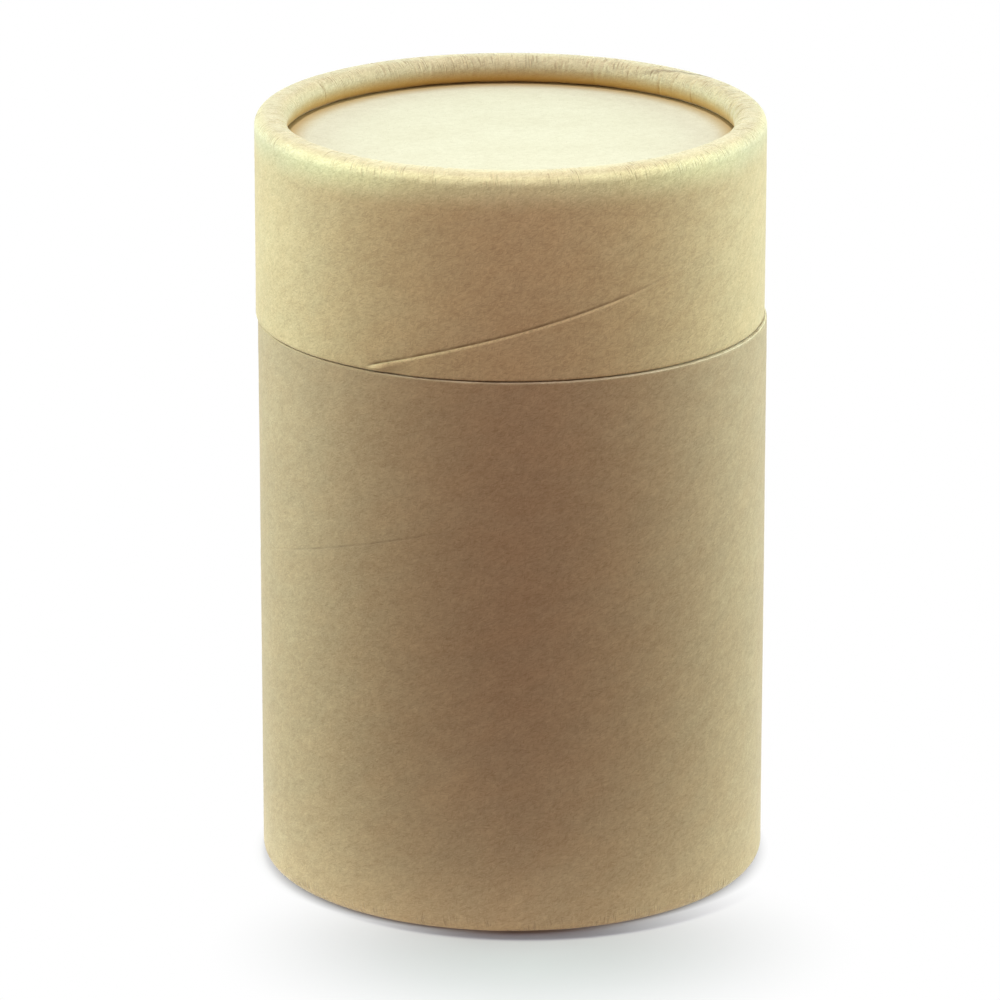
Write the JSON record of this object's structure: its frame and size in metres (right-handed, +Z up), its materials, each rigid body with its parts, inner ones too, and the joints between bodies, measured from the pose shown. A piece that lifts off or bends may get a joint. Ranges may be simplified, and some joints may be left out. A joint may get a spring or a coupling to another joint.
{
  "type": "mailing tube",
  "caption": "Short upright kraft board tube pack with a lift-off cap, rolled edges over inset board discs and an inner tube that forms the neck.",
  "frame": {"origin": "middle of the ring that the tube stands on", "axes": "+Z up along the tube's axis, from the base to the cap; the tube is round, so +X and +Y are any two level directions"},
  "size_m": [0.08, 0.08, 0.1214],
  "materials": {
    "kraft_outer": "matt, spiral-wound brown kraft",
    "kraft_cap": "matt, spiral-wound brown kraft",
    "kraft_liner": "matt, spiral-wound brown kraft",
    "kraft_disc": "matt, flat pressed board"
  },
  "bodies": {
    "tube": {"body_tube": "kraft_outer", "inner_tube": "kraft_liner", "base_disc": "kraft_disc"},
    "cap": {"cap_tube": "kraft_cap", "cap_disc": "kraft_disc"}
  },
  "joints": [
    {"name": "cap_lift", "type": "slide", "parent": "tube", "child": "cap", "axis": [0, 0, 1], "range_m": [0, 0.04]}
  ]
}
